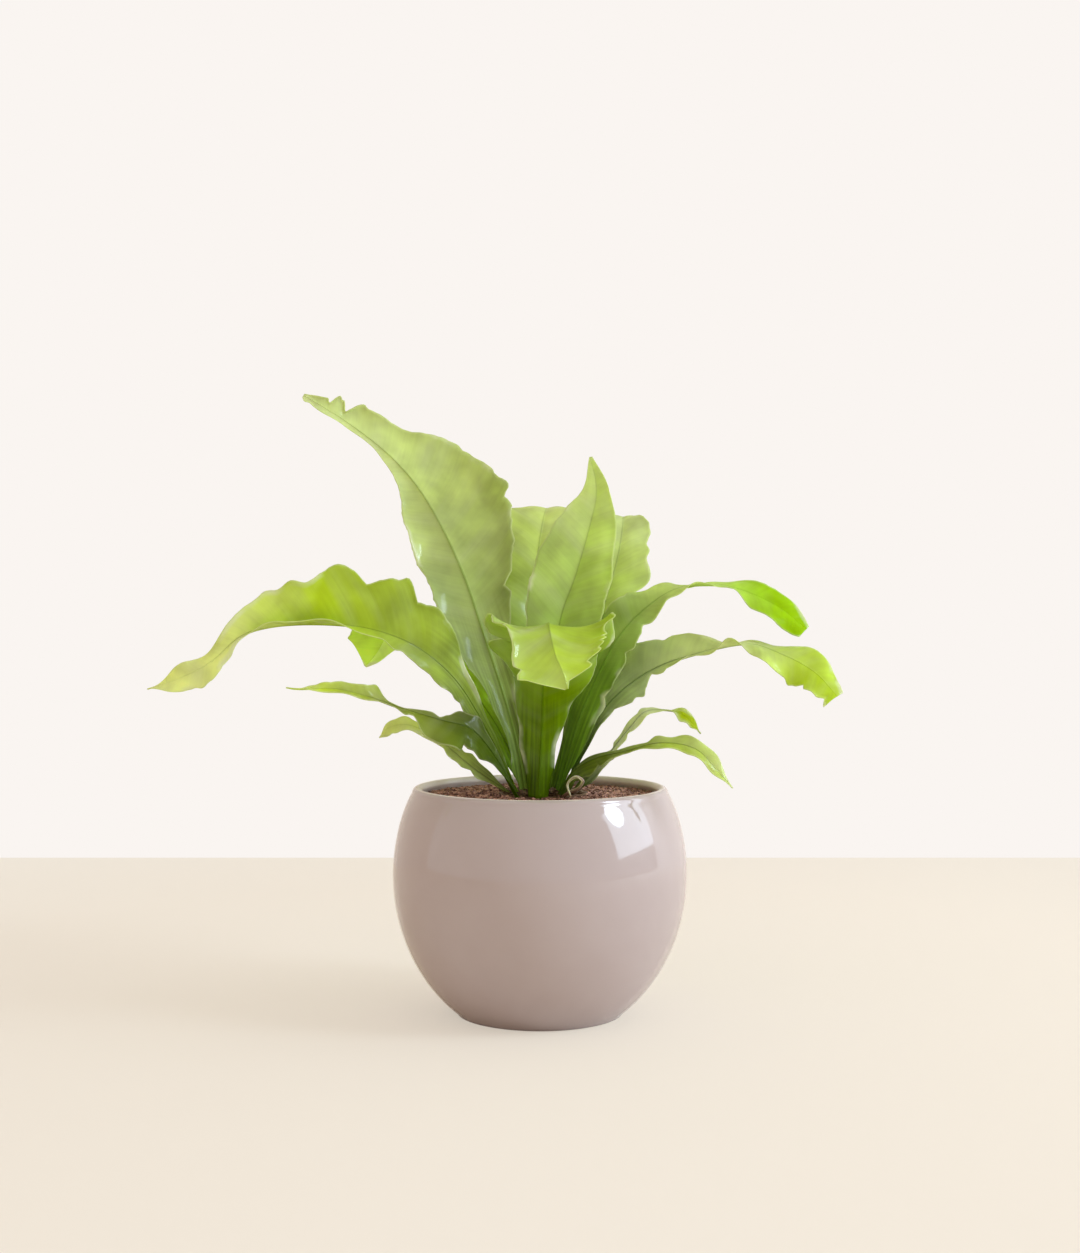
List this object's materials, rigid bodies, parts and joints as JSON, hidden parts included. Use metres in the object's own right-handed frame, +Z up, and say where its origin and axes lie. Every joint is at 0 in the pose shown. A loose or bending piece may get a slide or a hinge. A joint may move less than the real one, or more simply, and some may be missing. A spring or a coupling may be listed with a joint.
{
  "type": "potted bird's nest fern",
  "caption": "Bird's nest fern with long wavy strap fronds rising from one crown, planted in a round glazed pot with a rounded lip and a flat foot.",
  "frame": {"origin": "centre of the pot's foot, on the surface that the pot stands on", "axes": "+Z up, and the plant's front faces -Y"},
  "size_m": [0.4394, 0.3362, 0.409],
  "materials": {
    "pot_glaze": "gloss",
    "potting_mix": "matte",
    "crown": "matte",
    "frond_tall_left": "satin",
    "frond_long_left": "satin",
    "frond_drooping_left": "satin",
    "frond_low_left": "satin",
    "frond_small_left": "satin",
    "frond_front": "satin",
    "frond_tall_centre": "satin",
    "frond_back_left": "satin",
    "frond_back_right": "satin",
    "frond_high_right": "satin",
    "frond_mid_right": "satin",
    "frond_thin_right": "satin",
    "frond_low_right": "satin",
    "frond_rear_left": "satin",
    "frond_rear_centre": "satin",
    "frond_rear_right": "satin",
    "withered_frond": "matte"
  },
  "bodies": {
    "root": {"pot": "pot_glaze", "potting_mix": "potting_mix", "crown": "crown", "frond_tall_left": "frond_tall_left", "frond_long_left": "frond_long_left", "frond_drooping_left": "frond_drooping_left", "frond_low_left": "frond_low_left", "frond_small_left": "frond_small_left", "frond_front": "frond_front", "frond_tall_centre": "frond_tall_centre", "frond_back_left": "frond_back_left", "frond_back_right": "frond_back_right", "frond_high_right": "frond_high_right", "frond_mid_right": "frond_mid_right", "frond_thin_right": "frond_thin_right", "frond_low_right": "frond_low_right", "frond_rear_left": "frond_rear_left", "frond_rear_centre": "frond_rear_centre", "frond_rear_right": "frond_rear_right", "withered_frond": "withered_frond"}
  },
  "joints": []
}
